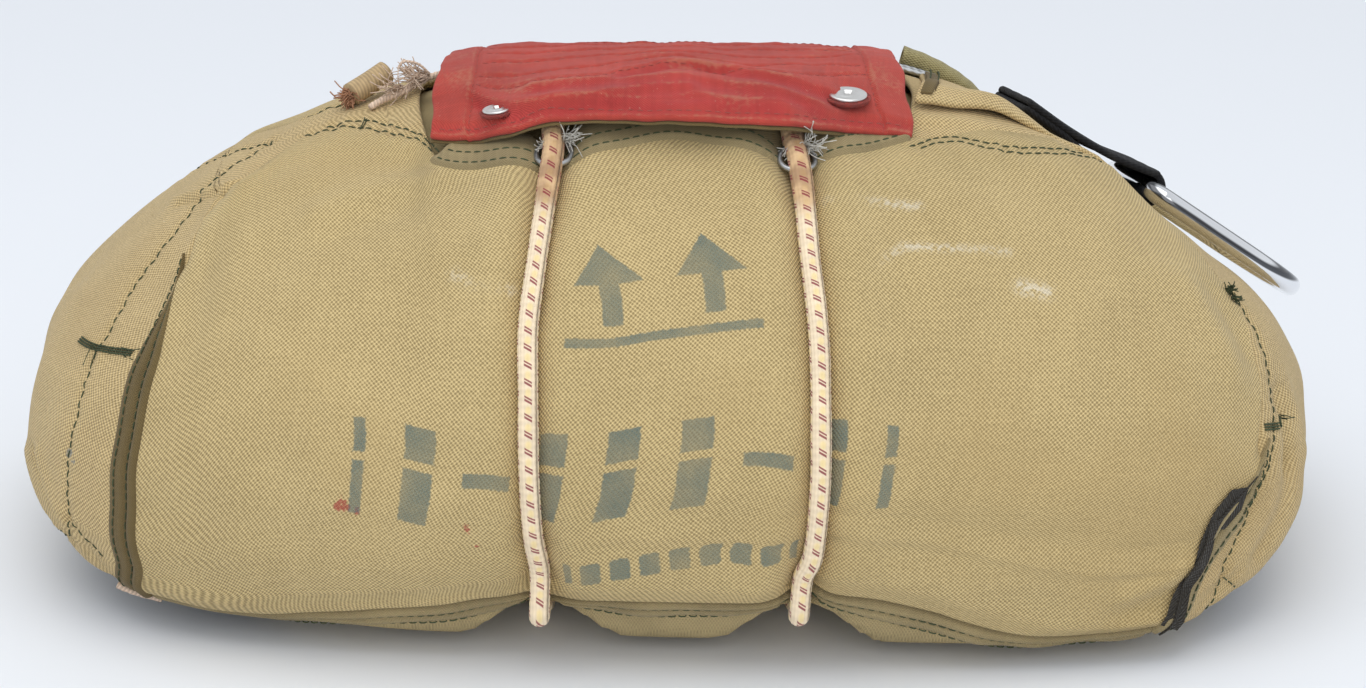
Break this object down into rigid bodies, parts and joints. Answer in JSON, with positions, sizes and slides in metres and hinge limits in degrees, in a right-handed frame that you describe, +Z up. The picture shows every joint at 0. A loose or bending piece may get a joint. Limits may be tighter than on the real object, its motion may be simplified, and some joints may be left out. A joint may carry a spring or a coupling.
{
  "type": "packed chest parachute",
  "caption": "Packed chest parachute lying on its back: canvas flaps round a filled body, elastic opening cords, a red quilted ripcord flap and a steel D-ring.",
  "frame": {"origin": "on the surface that the pack lies on, under the middle of its length and depth", "axes": "+X along the pack to the D-ring end, +Y from the front flap to the far flap, +Z up out of the back panel it lies on"},
  "size_m": [0.3998, 0.2313, 0.1612],
  "materials": {
    "canvas": "tan cotton duck, plain weave, lightly soiled",
    "olive_tape": "olive cotton binding tape with dark green thread",
    "red_quilt": "faded red cloth quilted in long rows, khaki backing",
    "cord_cover": "cream braided cotton cover with maroon flecks",
    "twine": "cream twisted twine",
    "black_webbing": "black woven webbing",
    "chrome": "polished chrome plate",
    "steel_wire": "dull steel wire",
    "nickel": "worn nickel plate"
  },
  "bodies": {
    "root": {"pack_body": "canvas", "front_flap": "canvas", "far_flap": "canvas", "end_flap_left": "canvas", "end_flap_right": "canvas", "corner_fold": "canvas", "edge_roll": "canvas", "binding_left": "olive_tape", "binding_left_far": "olive_tape", "binding_right": "olive_tape", "binding_right_far": "olive_tape", "top_binding_front": "olive_tape", "top_binding_far": "olive_tape", "flange_front": "olive_tape", "flange_far": "olive_tape", "ripcord_flap": "red_quilt", "cord_left": "cord_cover", "cord_right": "cord_cover", "cord_stub": "cord_cover", "twine_tie": "twine", "strap_webbing": "black_webbing", "d_ring": "chrome", "ripcord_wire": "steel_wire", "eye_left_front": "steel_wire", "eye_left_far": "steel_wire", "eye_right_front": "steel_wire", "eye_right_far": "steel_wire", "snap_left": "nickel", "snap_right": "nickel"}
  },
  "joints": []
}
